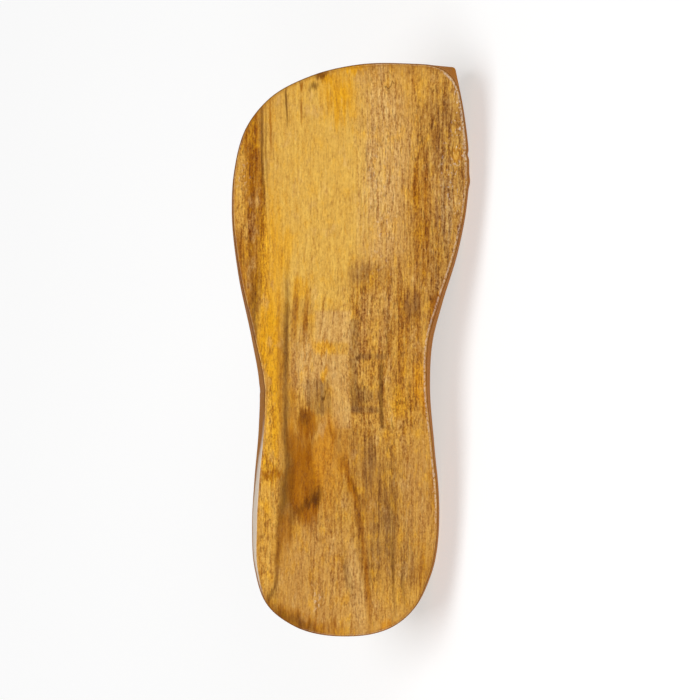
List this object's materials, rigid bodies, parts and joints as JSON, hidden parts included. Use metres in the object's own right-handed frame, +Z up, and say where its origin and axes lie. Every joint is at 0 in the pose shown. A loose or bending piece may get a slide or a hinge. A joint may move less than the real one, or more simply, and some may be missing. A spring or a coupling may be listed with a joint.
{
  "type": "toe knob sandal",
  "caption": "Flat wooden sandal for the right foot: a carved sole that the toes hold by a turned knob. It lies on its big-toe side.",
  "frame": {"origin": "on the floor, below the middle of the sandal as it lies on its big-toe side", "axes": "+X towards the toe end, -Y out of the underside, +Y towards the foot bed and the knob, +Z up from the floor"},
  "size_m": [0.2662, 0.0806, 0.1027],
  "materials": {
    "sole_wood": "flat-sawn golden brown hardwood with dark figure, one coat of clear gloss varnish",
    "knob_wood": "turned golden brown hardwood, one coat of clear gloss varnish"
  },
  "bodies": {
    "root": {"sole": "sole_wood", "toe_knob": "knob_wood"}
  },
  "joints": []
}
